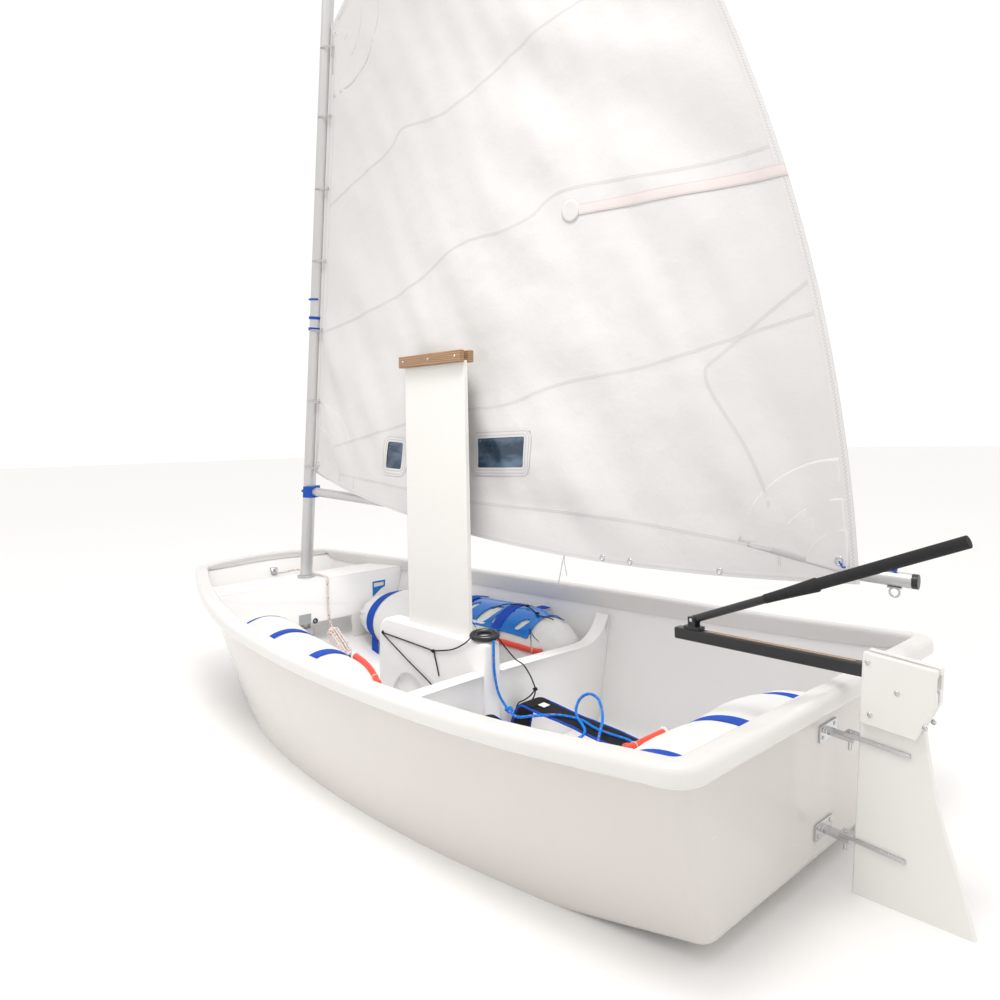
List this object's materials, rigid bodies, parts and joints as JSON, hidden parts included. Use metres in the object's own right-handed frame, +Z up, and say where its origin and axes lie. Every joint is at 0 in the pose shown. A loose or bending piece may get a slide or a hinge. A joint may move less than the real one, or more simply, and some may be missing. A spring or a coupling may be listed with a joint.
{
  "type": "single-handed pram sailing dinghy with a spritsail",
  "caption": "Small pram-bowed sailing dinghy with a swinging sprit rig, a daggerboard that slides in its case, and a hung rudder with tiller and hinged extension.",
  "frame": {"origin": "amidships on the centreline, on the waterline of the empty boat afloat", "axes": "+X points to the bow, +Y to port, +Z up"},
  "size_m": [2.5905, 1.155, 3.5599],
  "materials": {
    "aluminium": "anodised satin",
    "bag_fabric": "coated fabric",
    "black_plastic": "satin",
    "black_rubber": "matt",
    "black_webbing": "woven webbing",
    "blue_plastic": "satin",
    "blue_rope": "braided rope",
    "blue_webbing": "woven webbing",
    "foil": "satin lacquer",
    "gelcoat": "gloss",
    "grey_plastic": "satin",
    "painter_rope": "braided rope",
    "red_tube": "satin",
    "sailcloth": "finished polyester sailcloth",
    "sheet_rope": "braided rope",
    "steel": "polished",
    "wood": "varnished"
  },
  "bodies": {
    "root": {"aft_bag": "bag_fabric", "aft_bag_tube": "red_tube", "aft_strap_1": "blue_webbing", "aft_strap_2": "blue_webbing", "aft_strap_3": "blue_webbing", "bailer": "blue_plastic", "bow_eye": "steel", "daggerboard_case": "gelcoat", "frame_port": "gelcoat", "frame_starboard": "gelcoat", "gudgeon_1": "steel", "gudgeon_2": "steel", "gunwale": "gelcoat", "hiking_strap_port": "black_webbing", "hiking_strap_starboard": "black_webbing", "hull_shell": "gelcoat", "mainsheet": "sheet_rope", "mainsheet_coil": "sheet_rope", "mainsheet_tail": "sheet_rope", "mast_collar": "grey_plastic", "mast_step": "gelcoat", "mast_thwart": "gelcoat", "painter": "painter_rope", "painter_hank": "painter_rope", "port_bag": "bag_fabric", "port_bag_tube": "red_tube", "port_strap_1": "blue_webbing", "port_strap_2": "blue_webbing", "port_strap_3": "blue_webbing", "sheet_block": "black_plastic", "starboard_bag": "bag_fabric", "starboard_bag_tube": "red_tube", "starboard_strap_1": "blue_webbing", "starboard_strap_2": "blue_webbing", "starboard_strap_3": "blue_webbing"},
    "rig": {"boom": "aluminium", "boom_eye_end": "steel", "boom_eye_mid": "steel", "boom_jaws": "black_plastic", "boom_lashing": "blue_rope", "boom_plug": "black_plastic", "mast": "aluminium", "mast_plug": "black_plastic", "sail": "sailcloth", "sprit": "aluminium", "sprit_plug_high": "black_plastic", "sprit_plug_low": "black_plastic", "sprit_strop": "blue_rope"},
    "daggerboard": {"daggerboard": "foil", "head_batten_port": "wood", "head_batten_starboard": "wood"},
    "extension": {"extension_grip": "black_rubber", "extension_tube": "black_plastic"},
    "rudder": {"extension_joint": "black_plastic", "pintle_1": "steel", "pintle_2": "steel", "rudder_blade": "foil", "rudder_cheek_port": "foil", "rudder_cheek_starboard": "foil", "tiller": "black_plastic"}
  },
  "joints": [
    {"name": "rig_swing", "type": "hinge", "parent": "root", "child": "rig", "pos_m": [0.85, 0, 0.341], "axis": [-0.0958, 0, 0.9954], "range_deg": [-2, 80]},
    {"name": "daggerboard_slide", "type": "slide", "parent": "root", "child": "daggerboard", "axis": [0, 0, -1], "range_m": [0, 0.76]},
    {"name": "rudder_swing", "type": "hinge", "parent": "root", "child": "rudder", "pos_m": [-1.16284, 0, 0], "axis": [-0.09, 0, 0.9959], "range_deg": [-60, 60]},
    {"name": "extension_lift", "type": "hinge", "parent": "rudder", "child": "extension", "pos_m": [-0.85, 0, 0.454], "axis": [0, 1, 0], "range_deg": [-15, 110]}
  ]
}
